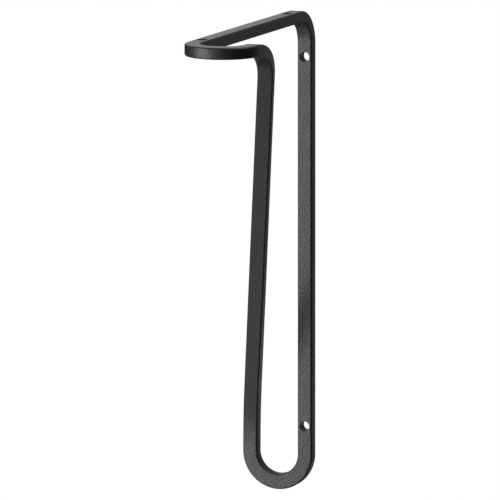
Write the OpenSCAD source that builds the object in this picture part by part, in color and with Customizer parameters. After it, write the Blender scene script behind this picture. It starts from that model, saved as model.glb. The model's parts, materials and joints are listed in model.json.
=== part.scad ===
// Shelf bracket bent from one length of flat bar into a closed loop.
// A leg lies on the wall, an arm carries the shelf, and a slanted strut joins their far ends.
// X is to the right facing the wall, Y is into the wall and Z is up, all in mm.
// The origin is midway between the two wall holes, on the wall's surface.

/* [Overall size] */
// Height from the bottom of the lower loop to the shelf face
height = 300; // [220:5:420]
// Depth from the wall to the front of the front loop
depth = 200; // [140:5:320]

/* [Bar] */
// Width of the bar, across its broad faces
bar_w = 9.5; // [7.5:0.1:14]
// Thickness of the bar
bar_t = 7; // [4:0.1:10]
// Radius along the bar's four long edges
edge_r = 1.1; // [0.2:0.05:1.5]

/* [Bends] */
// Radius of the loop at the arm's front end, at the middle of the bar
front_loop_r = 17.7; // [12:0.1:30]
// Radius of the loop at the wall leg's lower end, at the middle of the bar
lower_loop_r = 18.2; // [12:0.1:30]
// Radius of the corner between the wall leg and the arm, at the middle of the bar
corner_r = 18.5; // [8:0.5:40]
// Radius of the bend at the head of the strut, at the middle of the bar
head_r = 42; // [12:1:60]
// Radius of the bend at the foot of the strut, at the middle of the bar
foot_r = 75; // [12:1:110]

/* [Screw holes] */
// Diameter of the four screw holes
hole_d = 6; // [3:0.1:6.5]
// Chamfer that breaks the rim of each screw hole
rim_c = 0.3; // [0.1:0.05:0.5]
// Distance from the lower loop's end up to the lower wall hole
lower_hole_gap = 18.05; // [5:0.05:60]
// Distance from the corner's end down to the upper wall hole
upper_hole_gap = 8; // [5:0.05:60]
// Distance from the corner's end out to the rear shelf hole
rear_hole_gap = 13; // [5:0.05:40]
// Distance from the front loop's end back to the front shelf hole
front_hole_gap = 10.55; // [5:0.05:40]

/* [Hidden] */

// Steps in a full turn of a revolve, in a quarter round of an edge and along the twisted strut
TURN_STEPS = 144;
EDGE_STEPS = 5;
TWIST_STEPS = 30;
// Angle between the rings of the strut's two bends
RING_ANGLE = 3;
// Rounds in which the strut's direction settles
SETTLE_ROUNDS = 60;
// Fineness of the section's points, so that the pieces of the bar meet each other exactly
GRID = 0.001;
// How far a hole's cutter stands out of the bar
CUT_OVER = 1;

RIGHT = [1, 0, 0];
BACK = [0, 1, 0];
UP = [0, 0, 1];

// How far each bend reaches back from its outside to its end
front_end = front_loop_r + bar_w / 2;
lower_end = lower_loop_r + bar_w / 2;
corner_end = corner_r + bar_t / 2;

// Planes through the middle of the bar, and planes in which the straight legs meet their bends
wall_leg_y = -bar_t / 2;
arm_z = height - bar_t / 2;
corner_z = height - corner_end;
front_y = front_end - depth;

// Heights of the wall holes above the bottom, and places of the shelf holes out from the wall
lower_hole_z = lower_end + lower_hole_gap;
upper_hole_z = corner_z - upper_hole_gap;
wall_holes_mid = (lower_hole_z + upper_hole_z) / 2;
rear_hole_y = -corner_end - rear_hole_gap;
front_hole_y = front_y + front_hole_gap;

function unit(v) = v / norm(v);

// Vector v turned by an angle about a unit axis
function spun(v, axis, angle) =
    v * cos(angle) + cross(axis, v) * sin(angle) + axis * (axis * v) * (1 - cos(angle));

// A station on the bar is [middle point, width direction, direction of travel].
// The strut's run leaves the front loop going back and enters the lower loop going down.
head_start = [[2 * front_loop_r, front_y, arm_z], -RIGHT, BACK];
foot_end = [[-2 * lower_loop_r, wall_leg_y, lower_end], -RIGHT, -UP];

// Angles through which the bar turns into and out of a strut along the unit vector s
function head_angle(s) = acos(head_start[2] * s);
function foot_angle(s) = acos(foot_end[2] * s);

// Where the straight lines before and after each of those bends would cross
function head_corner(s) = head_start[0] + head_start[2] * head_r * tan(head_angle(s) / 2);
function foot_corner(s) = foot_end[0] - foot_end[2] * foot_r * tan(foot_angle(s) / 2);

// Direction of the strut at which both of its bends meet their loops
function strut_direction(s, rounds) =
    rounds == 0 ? s : strut_direction(unit(foot_corner(s) - head_corner(s)), rounds - 1);
strut_dir = strut_direction(unit(foot_end[0] - head_start[0]), SETTLE_ROUNDS);

// Station that lies an angle away round a bend of radius r, which turns the bar towards a direction
function bent(station, r, angle, towards) =
    let (
        axis = unit(cross(station[2], towards)),
        spoke = r * cross(station[2], axis),
        turned = [for (v = [spoke, station[1], station[2]]) spun(v, axis, angle)]
    )
    [station[0] + turned[0] - spoke, turned[1], turned[2]];

// Station part of the way from a to b, which lie on one straight line with the bar twisted between
function between(a, b, part) =
    let (twist = atan2(cross(a[1], b[1]) * a[2], a[1] * b[1]))
    [a[0] + (b[0] - a[0]) * part, spun(a[1], a[2], twist * part), a[2]];

// Point on a quarter of the rounded edges of the bar's section
function edge_point(quarter, angle) =
    let (
        x = (quarter == 0 || quarter == 3 ? 1 : -1) * (bar_w / 2 - edge_r),
        y = (quarter < 2 ? 1 : -1) * (bar_t / 2 - edge_r)
    )
    [x + edge_r * cos(angle), y + edge_r * sin(angle)];

// Outline of the bar's section: a flat with rounded edges, width along X and thickness along Y
outline = [
    for (quarter = [0:3], step = [0:EDGE_STEPS])
        [for (v = edge_point(quarter, 90 * (quarter + step / EDGE_STEPS))) GRID * round(v / GRID)]
];

// The outline's points at a station
function ring(station) =
    let (thickness_dir = cross(station[2], station[1]))
    [for (p = outline) station[0] + p[0] * station[1] + p[1] * thickness_dir];

module bar_section() {
    polygon(outline);
}

// Half a turn of bar in its own plane, from X = 0 round by -Y to X = 2 * r
module loop(r) {
    translate([r, 0, 0])
        rotate([0, 0, 180])
            rotate_extrude(angle = 180, $fn = TURN_STEPS)
                translate([r, 0]) bar_section();
}

// Loop at the wall leg's lower end, flat on the wall and to the left of the leg
module lower_loop() {
    translate([-2 * lower_loop_r, wall_leg_y, lower_end])
        rotate([90, 0, 0]) loop(lower_loop_r);
}

// Straight run of bar that lies flat on the wall
module wall_leg() {
    translate([0, wall_leg_y, lower_end])
        linear_extrude(corner_z - lower_end) bar_section();
}

// Quarter turn from the wall leg into the arm
module corner() {
    translate([0, -corner_end, corner_z])
        rotate([0, 90, 0]) rotate([0, 0, 90])
            rotate_extrude(angle = 90, $fn = TURN_STEPS)
                translate([corner_r, 0]) rotate(90) bar_section();
}

// Straight run of bar under the shelf
module arm() {
    translate([0, -corner_end, arm_z])
        rotate([90, 0, 0])
            linear_extrude(-corner_end - front_y) bar_section();
}

// Loop at the arm's front end, level with the arm and to its right
module front_loop() {
    translate([0, front_y, arm_z]) loop(front_loop_r);
}

// The slanted run: a bend down from the front loop, a twisted straight and a bend into the lower loop
module strut() {
    head_turn = head_angle(strut_dir);
    foot_turn = foot_angle(strut_dir);
    head_rings = ceil(head_turn / RING_ANGLE);
    foot_rings = ceil(foot_turn / RING_ANGLE);
    straight_start = bent(head_start, head_r, head_turn, strut_dir);
    straight_end = bent(foot_end, foot_r, -foot_turn, -strut_dir);
    stations = concat(
        [for (k = [0:head_rings]) bent(head_start, head_r, head_turn * k / head_rings, strut_dir)],
        [for (k = [1:TWIST_STEPS]) between(straight_start, straight_end, k / TWIST_STEPS)],
        [for (k = [1:foot_rings]) bent(foot_end, foot_r, foot_turn * (k / foot_rings - 1), -strut_dir)]
    );
    n = len(outline);
    last = len(stations) - 1;
    polyhedron(
        points = [for (s = stations) each ring(s)],
        faces = concat(
            [[for (j = [0:n - 1]) j]],
            [
                for (i = [0:last - 1], j = [0:n - 1])
                    let (a = i * n + j, b = i * n + (j + 1) % n)
                    each [[a, a + n, b + n], [a, b + n, b]]
            ],
            [[for (j = [n - 1:-1:0]) last * n + j]]
        )
    );
}

// Cutter for one screw hole through the bar's thickness, with its rims broken
module screw_hole() {
    hole_r = hole_d / 2;
    mouth_r = hole_r + rim_c + CUT_OVER;
    rotate_extrude($fn = TURN_STEPS)
        polygon([
            [0, -CUT_OVER],
            [mouth_r, -CUT_OVER],
            [hole_r, rim_c],
            [hole_r, bar_t - rim_c],
            [mouth_r, bar_t + CUT_OVER],
            [0, bar_t + CUT_OVER],
        ]);
}

// The whole bent bar with its holes drilled, standing on Z = 0
module drilled_bar() {
    difference() {
        union() {
            lower_loop();
            wall_leg();
            corner();
            arm();
            front_loop();
            strut();
        }
        for (z = [lower_hole_z, upper_hole_z])
            translate([0, 0, z]) rotate([90, 0, 0]) screw_hole();
        for (y = [rear_hole_y, front_hole_y])
            translate([0, y, height - bar_t]) screw_hole();
    }
}

module bracket() {
    color("#2a2a29") translate([0, 0, -wall_holes_mid]) drilled_bar();
}

bracket();
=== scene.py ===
# %% [markdown]
# # A shelf bracket bent from one flat bar
# The real bracket is a single length of flat steel bar. It lies on the wall, turns out under the shelf,
# loops round at the front, slants back down to the wall and loops round into its own start. A coat of black
# powder covers all of it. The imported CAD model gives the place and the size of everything, so it is loaded
# first and its box is kept: the finished bar has to stay inside it.

import json
import math

import bmesh
import bpy
from mathutils import Matrix, Vector


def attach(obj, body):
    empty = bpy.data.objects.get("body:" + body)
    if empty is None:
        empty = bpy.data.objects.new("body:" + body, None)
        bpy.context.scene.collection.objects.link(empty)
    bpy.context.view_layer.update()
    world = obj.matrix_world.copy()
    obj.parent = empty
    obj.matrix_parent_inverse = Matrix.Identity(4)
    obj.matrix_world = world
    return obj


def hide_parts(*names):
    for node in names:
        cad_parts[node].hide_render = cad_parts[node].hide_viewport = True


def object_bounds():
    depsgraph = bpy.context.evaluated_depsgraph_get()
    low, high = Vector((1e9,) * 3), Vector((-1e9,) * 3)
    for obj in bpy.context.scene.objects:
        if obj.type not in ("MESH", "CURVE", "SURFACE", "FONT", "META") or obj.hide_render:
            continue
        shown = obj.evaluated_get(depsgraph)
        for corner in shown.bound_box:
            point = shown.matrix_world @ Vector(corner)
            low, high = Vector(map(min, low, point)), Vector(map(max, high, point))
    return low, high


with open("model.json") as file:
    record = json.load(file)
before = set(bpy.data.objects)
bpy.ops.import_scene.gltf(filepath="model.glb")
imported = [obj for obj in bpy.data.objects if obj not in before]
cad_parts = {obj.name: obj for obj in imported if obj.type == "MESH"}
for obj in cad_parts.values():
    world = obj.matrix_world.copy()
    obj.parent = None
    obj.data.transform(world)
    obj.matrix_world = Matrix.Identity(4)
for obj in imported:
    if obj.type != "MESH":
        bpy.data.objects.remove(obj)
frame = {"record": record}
cad_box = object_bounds()
print("CAD box", [tuple(round(v, 4) for v in corner) for corner in cad_box])

# %% [markdown]
# ## Sizes
# A bender's drawing gives the bar's section, the radius of each bend at the middle of the bar, and the two
# overall sizes. The same values are repeated here in metres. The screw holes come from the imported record's
# mounts, because that is where the screws will be put.

# %% Sizes of the bar and its bends
MM = 0.001
HEIGHT = 300 * MM
DEPTH = 200 * MM
BAR_WIDTH = 9.5 * MM
BAR_THICKNESS = 7 * MM
EDGE_RADIUS = 1.1 * MM
FRONT_LOOP_RADIUS = 17.7 * MM
LOWER_LOOP_RADIUS = 18.2 * MM
CORNER_RADIUS = 18.5 * MM
HEAD_RADIUS = 42 * MM
FOOT_RADIUS = 75 * MM

RIGHT, INTO_WALL, UP = Vector((1, 0, 0)), Vector((0, 1, 0)), Vector((0, 0, 1))

bottom = cad_box[0].z
wall_leg_y = -BAR_THICKNESS / 2
arm_z = bottom + HEIGHT - BAR_THICKNESS / 2
leg_start = Vector((0, wall_leg_y, bottom + LOWER_LOOP_RADIUS + BAR_WIDTH / 2))
corner_start = Vector((0, wall_leg_y, arm_z - CORNER_RADIUS))
arm_start = Vector((0, wall_leg_y - CORNER_RADIUS, arm_z))
front_loop_start = Vector((0, FRONT_LOOP_RADIUS + BAR_WIDTH / 2 - DEPTH, arm_z))
head_start = front_loop_start + 2 * FRONT_LOOP_RADIUS * RIGHT
lower_loop_start = leg_start - 2 * LOWER_LOOP_RADIUS * RIGHT
print("wall leg", round((corner_start - leg_start).length / MM, 1), "mm, arm",
      round((front_loop_start - arm_start).length / MM, 1), "mm")

# %% [markdown]
# ## The direction of the strut
# The strut runs from the front loop at the right down to the lower loop at the left. A bend leads into it
# at each end, and where a bend stops depends on the strut's direction. So the direction is first taken
# straight from loop to loop, the two corners of the bends are worked out from it, and it is taken again from
# corner to corner. Each round moves the corners far less than the one before, so after sixty of them the
# direction has long settled.

# %% Settle the strut's direction
SETTLE_ROUNDS = 60

strut = (lower_loop_start - head_start).normalized()
for _ in range(SETTLE_ROUNDS):
    head_angle, foot_angle = strut.angle(INTO_WALL), strut.angle(-UP)
    head_corner = head_start + HEAD_RADIUS * math.tan(head_angle / 2) * INTO_WALL
    foot_corner = lower_loop_start + FOOT_RADIUS * math.tan(foot_angle / 2) * UP
    strut = (foot_corner - head_corner).normalized()
head_axis = INTO_WALL.cross(strut).normalized()
foot_axis = strut.cross(-UP).normalized()
strut_start = head_corner + HEAD_RADIUS * math.tan(head_angle / 2) * strut
strut_end = foot_corner - FOOT_RADIUS * math.tan(foot_angle / 2) * strut
across_start = Matrix.Rotation(head_angle, 3, head_axis) @ -RIGHT
across_end = Matrix.Rotation(-foot_angle, 3, foot_axis) @ -RIGHT
strut_twist = math.atan2(across_start.cross(across_end).dot(strut), across_start.dot(across_end))
print("bends of", round(math.degrees(head_angle), 1), "and", round(math.degrees(foot_angle), 1),
      "degrees, twist of", round(math.degrees(strut_twist), 1), "degrees")

# %% [markdown]
# ## The bar's section
# The bar is rolled as a flat with slightly rounded edges, the same all along. Its outline could be written as
# a list of points. A square that is stretched to the bar's width and thickness and has its corners bevelled
# needs no sums. Only its ring of edges is kept, because a face left inside the bar would spoil the mesh.

# %% Draw the section
EDGE_SEGMENTS = 5

shape = bmesh.new()
section_place = Matrix.Translation(leg_start) @ Matrix.Diagonal((BAR_WIDTH, BAR_THICKNESS, 1, 1))
bmesh.ops.create_grid(shape, x_segments=1, y_segments=1, size=0.5, matrix=section_place)
bmesh.ops.bevel(shape, geom=shape.verts[:], offset=EDGE_RADIUS, affect="VERTICES",
                segments=EDGE_SEGMENTS, profile=0.5, material=-1)
bmesh.ops.delete(shape, geom=shape.faces[:], context="FACES_ONLY")
ring = shape.edges[:]
print("section of", len(ring), "edges")

# %% [markdown]
# ## The bent bar
# A sweep along a curve would do, but a curve's tilt has to be guessed at each point, and this bar bends in
# five planes. So the mesh is made as the bender makes it. The section's ring is pushed along: extruded where
# the bar is straight, spun where it bends, and turned a little at each step where it twists. The last ring
# falls on the first, and merging them closes the loop, as the weld does on the real one.

# %% Push the section round the loop
CORNER_STEPS = 30
LOOP_STEPS = 72
HEAD_STEPS = 30
FOOT_STEPS = 24
TWIST_STEPS = 60
WELD_GAP = 0.001 * MM


def push(ring, travel, turn=0.0, pivot=Vector()):
    """Extrudes the ring along travel and turns its new end about that line."""
    made = bmesh.ops.extrude_edge_only(shape, edges=ring)["geom"]
    points = [p for p in made if isinstance(p, bmesh.types.BMVert)]
    bmesh.ops.translate(shape, verts=points, vec=travel)
    if turn:
        bmesh.ops.rotate(shape, verts=points, cent=pivot, matrix=Matrix.Rotation(turn, 3, travel))
    return [e for e in made if isinstance(e, bmesh.types.BMEdge)]


def bend(ring, start, heading, axis, radius, angle, steps):
    """Spins the ring about an axis beside its start, so that the bar bends on from its heading."""
    made = bmesh.ops.spin(shape, geom=ring, cent=start + radius * axis.cross(heading), axis=axis,
                          angle=angle, steps=steps, use_merge=False, use_duplicate=False)
    return [e for e in made["geom_last"] if isinstance(e, bmesh.types.BMEdge)]


ring = push(ring, corner_start - leg_start)
ring = bend(ring, corner_start, UP, RIGHT, CORNER_RADIUS, math.pi / 2, CORNER_STEPS)
ring = push(ring, front_loop_start - arm_start)
ring = bend(ring, front_loop_start, -INTO_WALL, UP, FRONT_LOOP_RADIUS, math.pi, LOOP_STEPS)
ring = bend(ring, head_start, INTO_WALL, head_axis, HEAD_RADIUS, head_angle, HEAD_STEPS)
for _ in range(TWIST_STEPS):
    ring = push(ring, (strut_end - strut_start) / TWIST_STEPS, strut_twist / TWIST_STEPS, strut_start)
ring = bend(ring, strut_end, strut, foot_axis, FOOT_RADIUS, foot_angle, FOOT_STEPS)
ring = bend(ring, lower_loop_start, -UP, -INTO_WALL, LOWER_LOOP_RADIUS, math.pi, LOOP_STEPS)
before_weld = len(shape.verts)
bmesh.ops.remove_doubles(shape, verts=shape.verts[:], dist=WELD_GAP)
bmesh.ops.recalc_face_normals(shape, faces=shape.faces[:])
print("merged", before_weld - len(shape.verts), "points at the weld; open edges",
      sum(not e.is_manifold for e in shape.edges), "; volume",
      round(shape.calc_volume() / MM**3 / 1000, 2), "cm3")

bar_mesh = bpy.data.meshes.new("bent_bar")
shape.to_mesh(bar_mesh)
shape.free()
bar = bpy.data.objects.new("bent_bar", bar_mesh)
bpy.context.scene.collection.objects.link(bar)

# %% [markdown]
# ## The screw holes
# Two holes go through the wall leg and two through the arm, drilled before the bar is coated. Cutting them
# into the mesh by hand would need many new edges in the flat faces. Plain round cutters, taken away from the
# bar by a Boolean modifier, leave them clean.

# %% Drill the four holes
HOLE_STEPS = 64
CUT_OVER = 1 * MM

mounts = {mount["name"]: mount for mount in frame["record"]["mounts"]}
drill = bmesh.new()
for name, along in (("wall_screws", UP), ("shelf_screws", INTO_WALL)):
    mount = mounts[name]
    outward = Vector(mount["axis"])
    turn = UP.rotation_difference(outward).to_matrix().to_4x4()
    hole_radius = mount["dims"]["hole_r_mm"] * MM
    half_spacing = mount["dims"]["spacing_y_mm"] * MM / 2
    for side in (-1, 1):
        centre = Vector(mount["pos_m"]) + side * half_spacing * along - BAR_THICKNESS / 2 * outward
        bmesh.ops.create_cone(drill, cap_ends=True, segments=HOLE_STEPS, radius1=hole_radius,
                              radius2=hole_radius, depth=BAR_THICKNESS + 2 * CUT_OVER,
                              matrix=Matrix.Translation(centre) @ turn)
drill_mesh = bpy.data.meshes.new("drill")
drill.to_mesh(drill_mesh)
drill.free()
cutter = bpy.data.objects.new("drill", drill_mesh)
bpy.context.scene.collection.objects.link(cutter)

drilled = bar.modifiers.new("drilled", "BOOLEAN")
drilled.operation = "DIFFERENCE"
drilled.solver = "EXACT"
drilled.object = cutter
finished = bpy.data.meshes.new_from_object(bar.evaluated_get(bpy.context.evaluated_depsgraph_get()))
bar.modifiers.clear()
bar.data = finished
bpy.data.objects.remove(cutter)
print("drilled bar:", len(finished.vertices), "points,", len(finished.polygons), "faces")

# %% [markdown]
# ## The rims of the holes
# A drill leaves a burr, which is taken off before the coating, so each rim is a little round. The cutters
# could have had flared ends. A bevel after the cut is simpler, and the rims are easy to find: no other edge
# of the bar turns by a right angle.

# %% Break the rims
RIM_RADIUS = 0.3 * MM
RIM_SEGMENTS = 4
RIM_ANGLE = math.radians(60)

shape = bmesh.new()
shape.from_mesh(finished)
bmesh.ops.remove_doubles(shape, verts=shape.verts[:], dist=WELD_GAP)
rims = [e for e in shape.edges if e.calc_face_angle() > RIM_ANGLE]
bmesh.ops.bevel(shape, geom=rims, offset=RIM_RADIUS, affect="EDGES",
                segments=RIM_SEGMENTS, profile=0.5, material=-1)
print("rounded", len(rims), "rim edges; open edges", sum(not e.is_manifold for e in shape.edges),
      "; volume", round(shape.calc_volume() / MM**3 / 1000, 2), "cm3")
shape.to_mesh(finished)
shape.free()

# %% [markdown]
# ## Smooth rounds and flat faces
# The rounds should shade as one curve while the broad faces stay dead flat. Plain smooth shading would bow
# the flats, because each point would lean towards its small neighbours. A Weighted Normal modifier lets the
# large faces win, which costs no extra geometry.

# %% Shade the bar and hang it on the frame
SHARP_ANGLE = math.radians(40)

finished.shade_smooth()
finished.set_sharp_from_angle(angle=SHARP_ANGLE)
flats = bar.modifiers.new("flats", "WEIGHTED_NORMAL")
flats.keep_sharp = True
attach(bar, "root")
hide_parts("bracket")
print("bar of", len(finished.vertices), "points and", len(finished.polygons), "faces on the frame")

# %% [markdown]
# ## Colours and nodes
# The coat is black only by name: beside real black it is a very dark, slightly warm grey. It is drawn a
# little paler on the tops of its beads and darker in the valleys between them, which is painted shade. Its
# two greys are written as hex values, which follow the eye, while a renderer adds up light.
# So one function turns them to linear. Another one adds a node with its settings and links, which keeps a
# material readable from top to bottom.

# %% Colours of the coat
# The darker grey is painted shade for the valleys between the beads, and the paler one is for their tops
COAT_VALLEY_SHADE = "#1a1a18"
COAT_BEAD_TOP = "#242422"


def linear(hex_colour):
    """The scene-linear colour of an sRGB hex value."""
    parts = [int(hex_colour[i:i + 2], 16) / 255 for i in (1, 3, 5)]
    return (*[v / 12.92 if v <= 0.04045 else ((v + 0.055) / 1.055) ** 2.4 for v in parts], 1)


def add(tree, kind, links=None, inputs=None, **settings):
    """Adds a node, sets its properties and its sockets' values, and links other nodes' outputs to it."""
    node = tree.nodes.new(kind)
    for name, value in settings.items():
        setattr(node, name, value)
    for name, value in (inputs or {}).items():
        node.inputs[name].default_value = value
    for name, output in (links or {}).items():
        tree.links.new(output, node.inputs[name])
    return node


for colour in (COAT_VALLEY_SHADE, COAT_BEAD_TOP):
    print("coat", colour, "is linear", [round(v, 4) for v in linear(colour)[:3]])

# %% [markdown]
# ## Black powder coat
# The finish is polyester powder, blown on dry and melted in an oven. Black ones for furniture fittings are
# made with a fine texture that hides scratches: the melt draws into small beads, about half a millimetre
# across, with shallow valleys between. The eye gets a dark grey with a soft sheen that breaks up into fine
# specks where a lamp is reflected. Two noise textures make it, one for the beads and one for the slow
# ripple under them, because an image would have to be wrapped round every bend. The paint hides the metal,
# so metallic is zero. Such a coat has an index of about 1.5. It is set lower here, because the valleys
# between the beads swallow part of the sheen.

# %% Make the coat
# The beads are drawn about twice as coarse as real ones, or they would be lost between the picture's pixels
BEAD = 1.2 * MM
BEAD_HEIGHT = 0.25 * MM
BEAD_DETAIL = 3.0
BEAD_FINE_SHARE = 0.55
RIPPLE = 4.0 * MM
RIPPLE_HEIGHT = 0.05 * MM
RIPPLE_DETAIL = 1.0
# Noise keeps mostly between these two values, over which the roughness goes from the first to the second
NOISE_LOW, NOISE_HIGH = 0.3, 0.7
ROUGHNESS_LOW, ROUGHNESS_HIGH = 0.34, 0.4
COAT_IOR = 1.36

coat = bpy.data.materials.new("black_powder_coat")
coat.use_nodes = True
tree = coat.node_tree
tree.nodes.clear()
place = add(tree, "ShaderNodeTexCoord").outputs["Object"]
beads = add(tree, "ShaderNodeTexNoise", {"Vector": place},
            {"Scale": 1 / BEAD, "Detail": BEAD_DETAIL, "Roughness": BEAD_FINE_SHARE})
ripple = add(tree, "ShaderNodeTexNoise", {"Vector": place},
             {"Scale": 1 / RIPPLE, "Detail": RIPPLE_DETAIL})
# Painted shade: where the bead noise is low, in the valleys, the colour turns to the darker grey
tone = add(tree, "ShaderNodeMix", {"Factor": beads.outputs["Fac"]},
           {"A": linear(COAT_VALLEY_SHADE), "B": linear(COAT_BEAD_TOP)}, data_type="RGBA")
sheen = add(tree, "ShaderNodeMapRange", {"Value": ripple.outputs["Fac"]},
            {"From Min": NOISE_LOW, "From Max": NOISE_HIGH,
             "To Min": ROUGHNESS_LOW, "To Max": ROUGHNESS_HIGH})
wave = add(tree, "ShaderNodeBump", {"Height": ripple.outputs["Fac"]},
           {"Strength": 1.0, "Distance": RIPPLE_HEIGHT})
grit = add(tree, "ShaderNodeBump", {"Height": beads.outputs["Fac"], "Normal": wave.outputs["Normal"]},
           {"Strength": 1.0, "Distance": BEAD_HEIGHT})
surface = add(tree, "ShaderNodeBsdfPrincipled",
              {"Base Color": tone.outputs["Result"], "Roughness": sheen.outputs["Result"],
               "Normal": grit.outputs["Normal"]}, {"Metallic": 0.0, "IOR": COAT_IOR})
add(tree, "ShaderNodeOutputMaterial", {"Surface": surface.outputs["BSDF"]})
finished.materials.clear()
finished.materials.append(coat)
print("coat with", len(tree.nodes), "nodes")

# %% [markdown]
# ## Floor
# The picture shows the bracket alone on white. A pale floor lies so far below it that the thin bar's shadow
# would blur away to nothing there. Lighting the floor until it reads as white would wash out the bar, so it
# is simply white to the rays that show it: the camera's, a reflection's and those through glass. To the light
# that it throws on the bar it stays a pale paint, and it isn't sampled as a lamp.

# %% Floor
FLOOR_DROP = 0.6
FLOOR_SIZE = 40.0
FLOOR_PAINT = "#e6e6e6"
WHITE = "#ffffff"


def background_shows(tree):
    """A value of 1 for rays that show the background itself, and 0 for the light that it throws."""
    path = add(tree, "ShaderNodeLightPath")
    shows = path.outputs["Is Camera Ray"]
    for kind in ("Is Glossy Ray", "Is Transmission Ray"):
        either = add(tree, "ShaderNodeMath", {0: shows, 1: path.outputs[kind]}, operation="MAXIMUM")
        shows = either.outputs[0]
    return shows


def stand(name, shape, material):
    """Makes a stage object of a bmesh, which isn't part of the bracket."""
    mesh = bpy.data.meshes.new(name)
    shape.to_mesh(mesh)
    shape.free()
    mesh.materials.append(material)
    thing = bpy.data.objects.new(name, mesh)
    bpy.context.scene.collection.objects.link(thing)
    return thing


pale_paint = bpy.data.materials.new("pale_floor_paint")
pale_paint.use_nodes = True
pale_paint.cycles.emission_sampling = "NONE"
tree = pale_paint.node_tree
tree.nodes.clear()
matt = add(tree, "ShaderNodeBsdfDiffuse", None, {"Color": linear(FLOOR_PAINT)})
glow = add(tree, "ShaderNodeEmission", None, {"Color": linear(WHITE), "Strength": 1.0})
both = add(tree, "ShaderNodeMixShader",
           {0: background_shows(tree), 1: matt.outputs["BSDF"], 2: glow.outputs["Emission"]})
add(tree, "ShaderNodeOutputMaterial", {"Surface": both.outputs["Shader"]})

ground = bmesh.new()
bmesh.ops.create_grid(ground, x_segments=1, y_segments=1, size=FLOOR_SIZE / 2,
                      matrix=Matrix.Translation((0, 0, bottom - FLOOR_DROP)))
stand("floor", ground, pale_paint)
print("floor of", FLOOR_SIZE, "m,", FLOOR_DROP, "m below the bracket")

# %% [markdown]
# ## World
# The rest of the room is white too. A picture of a studio could be wrapped round the scene, but an even white
# needs none. It works as the floor does: white to the rays that show it, and a dim, even sky to the light
# that it throws on the bar.

# %% World
SKY_LIGHT = 0.3

world = bpy.data.worlds.new("studio")
bpy.context.scene.world = world
world.use_nodes = True
world.cycles.sampling_method = "NONE"
tree = world.node_tree
tree.nodes.clear()
level = add(tree, "ShaderNodeMapRange", {"Value": background_shows(tree)},
            {"To Min": SKY_LIGHT, "To Max": 1.0})
sky = add(tree, "ShaderNodeBackground", {"Strength": level.outputs["Result"]}, {"Color": linear(WHITE)})
add(tree, "ShaderNodeOutputWorld", {"Surface": sky.outputs["Background"]})
print("sky light", SKY_LIGHT)

# %% [markdown]
# ## Cards
# Black things on white are photographed between cards. Without them every side of the bar would mirror the
# white room and the bend of its edges would be lost. Dark cards stand at the right and at the left, one lies
# on the floor and one hangs over the front, so that a thin dark line runs along the rounded edges. Grey ones
# behind keep the narrow sides and the top faces a little paler, and a pale one stands low before them for
# the side of the strut. Each is a strip spun round the bracket, and the camera doesn't see them from any
# side.

# %% Cards
CARD_STEPS = 24
# Reaches out from the middle of the bracket
CARD_REACH = 0.9
STRUT_CARD_REACH = 0.85
FLOOR_CARD_START = 0.15
CANOPY_START = 0.2
# Heights above the middle of the bracket
CARD_TOP = 0.9
CANOPY_EDGE = 0.62
LEFT_CARD_TOP = 0.36
BACK_CARD_SEAM = 0.02
STRUT_CARD_TOP = -0.22
# Gap under the card that lies on the floor
CARD_LIFT = 0.005

middle = (cad_box[0] + cad_box[1]) / 2
floor_height = bottom - FLOOR_DROP - middle.z


def direction(azimuth, elevation):
    """Unit vector from the bracket. Azimuth 0 is straight out from the wall and 90 is to the right."""
    a, e = math.radians(azimuth), math.radians(elevation)
    return Vector((math.sin(a) * math.cos(e), -math.cos(a) * math.cos(e), math.sin(e)))


def curved_card(name, tone, azimuths, start, end):
    """A matt card: a line from start to end, each a reach and a height, spun between two azimuths."""
    paint = bpy.data.materials.new(name)
    paint.use_nodes = True
    tree = paint.node_tree
    tree.nodes.clear()
    matt = add(tree, "ShaderNodeBsdfDiffuse", None, {"Color": linear(tone)})
    add(tree, "ShaderNodeOutputMaterial", {"Surface": matt.outputs["BSDF"]})
    card = bmesh.new()
    outward = direction(azimuths[0], 0)
    ends = [card.verts.new(middle + reach * outward + height * UP) for reach, height in (start, end)]
    line = card.edges.new(ends)
    bmesh.ops.spin(card, geom=[line], cent=middle, axis=UP, angle=math.radians(azimuths[1] - azimuths[0]),
                   steps=CARD_STEPS, use_merge=False, use_duplicate=False)
    thing = stand(name, card, paint)
    thing.visible_camera = False
    print(name, "from azimuth", azimuths[0], "to", azimuths[1])


foot, top = (CARD_REACH, floor_height), (CARD_REACH, CARD_TOP)
seam = (CARD_REACH, BACK_CARD_SEAM)
strut_foot, strut_top = (STRUT_CARD_REACH, floor_height), (STRUT_CARD_REACH, STRUT_CARD_TOP)
lying = floor_height + CARD_LIFT
curved_card("right_card", "#3a3a3a", (12, 125), foot, top)
curved_card("low_back_card", "#989898", (125, 206), foot, seam)
curved_card("strut_card", "#d4d4d4", (165, 190), strut_foot, strut_top)
curved_card("high_back_card", "#909090", (125, 198), seam, top)
curved_card("left_card", "#242424", (-62, -152), foot, (CARD_REACH, LEFT_CARD_TOP))
curved_card("floor_card", "#303030", (20, 242), (FLOOR_CARD_START, lying), (CARD_REACH, lying))
curved_card("canopy_card", "#242424", (-120, 60), (CANOPY_START, CARD_TOP), (CARD_REACH, CANOPY_EDGE))

# %% [markdown]
# ## Softboxes
# One tall softbox stands in front and to the left. The broad faces of the wall leg and of the lower loop
# mirror it, which lifts them off the darker strut and makes their grain show. A weaker one hangs above and
# to the right, for the top faces and the right-hand sides. An area lamp is used for each, because it shows
# in the sheen at its real size.

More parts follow.
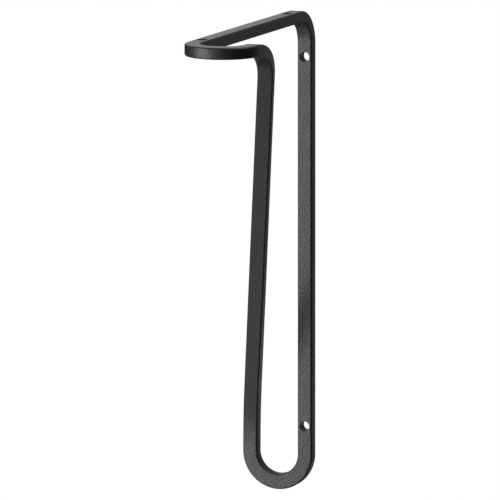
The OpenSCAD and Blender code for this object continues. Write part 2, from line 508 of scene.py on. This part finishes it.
# %% Softboxes
LAMP_DISTANCE = 1.2
LAMP_COLOUR = "#fffffa"


def softbox(name, azimuth, elevation, width, height, watts):
    """An area lamp that faces the middle of the bracket."""
    lamp = bpy.data.lights.new(name, "AREA")
    lamp.shape = "RECTANGLE"
    lamp.size, lamp.size_y = width, height
    lamp.energy = watts
    lamp.color = linear(LAMP_COLOUR)[:3]
    outward = direction(azimuth, elevation)
    holder = bpy.data.objects.new(name, lamp)
    holder.matrix_world = Matrix.Translation(middle + LAMP_DISTANCE * outward) @ (
        outward.to_track_quat("Z", "Y").to_matrix().to_4x4())
    bpy.context.scene.collection.objects.link(holder)
    print(name, "of", watts, "W at azimuth", azimuth)


softbox("key_softbox", azimuth=-39, elevation=0.5, width=0.64, height=1.5, watts=23.6)
softbox("overhead_softbox", azimuth=105, elevation=60, width=0.8, height=0.8, watts=8.5)

# %% [markdown]
# ## Camera
# The picture was taken from a little above and from the right, with a long lens, so lines hardly run
# together. The camera's direction, distance and lens come from fitting the bracket's outline to the picture.
# The fit also turns the camera by a tenth of a degree about its own axis, as a hand-set tripod would be.

# %% Camera
AZIMUTH = 22.388
ELEVATION = 9.561
ROLL = math.radians(-0.09)
DISTANCE = 3.294
LENS_PIXELS = 5528
IMAGE_PIXELS = 500
SENSOR = 36.0
AIM = Vector((2.27 * MM, -100 * MM, 10.19 * MM))
NEAREST, FARTHEST = 0.1, 100

towards_camera = direction(AZIMUTH, ELEVATION)
lens = bpy.data.cameras.new("camera")
lens.sensor_width = SENSOR
lens.lens = LENS_PIXELS / IMAGE_PIXELS * SENSOR
lens.clip_start, lens.clip_end = NEAREST, FARTHEST
camera = bpy.data.objects.new("camera", lens)
camera.matrix_world = Matrix.Translation(AIM + DISTANCE * towards_camera) @ (
    towards_camera.to_track_quat("Z", "Y").to_matrix().to_4x4() @ Matrix.Rotation(ROLL, 4, "Z"))
bpy.context.scene.collection.objects.link(camera)
bpy.context.scene.camera = camera
bpy.context.scene.view_settings.view_transform = "Standard"
print("lens of", round(lens.lens), "mm at", DISTANCE, "m")
